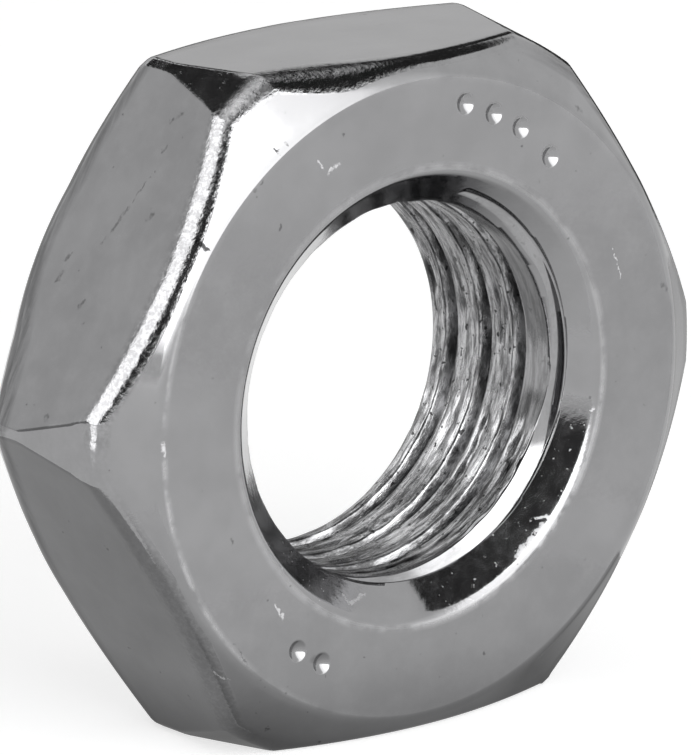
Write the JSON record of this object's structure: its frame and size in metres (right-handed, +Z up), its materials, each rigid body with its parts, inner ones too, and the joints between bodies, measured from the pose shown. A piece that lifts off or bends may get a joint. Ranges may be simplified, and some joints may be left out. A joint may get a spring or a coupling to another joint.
{
  "type": "piston rod nut",
  "caption": "Thin hexagon nut with a fine thread, countersunk and chamfered on both faces, that locks a fitting on a piston rod.",
  "frame": {"origin": "middle of the bore, halfway between the two bearing faces", "axes": "-Y along the thread axis, out of the front face; +Z up, out of one flat; the nut stands on the opposite flat; X runs across two corners"},
  "size_m": [0.0218, 0.0066, 0.019],
  "materials": {
    "plated_steel": "bright zinc plating over forged steel, lightly worn"
  },
  "bodies": {
    "root": {"nut": "plated_steel"}
  },
  "joints": []
}
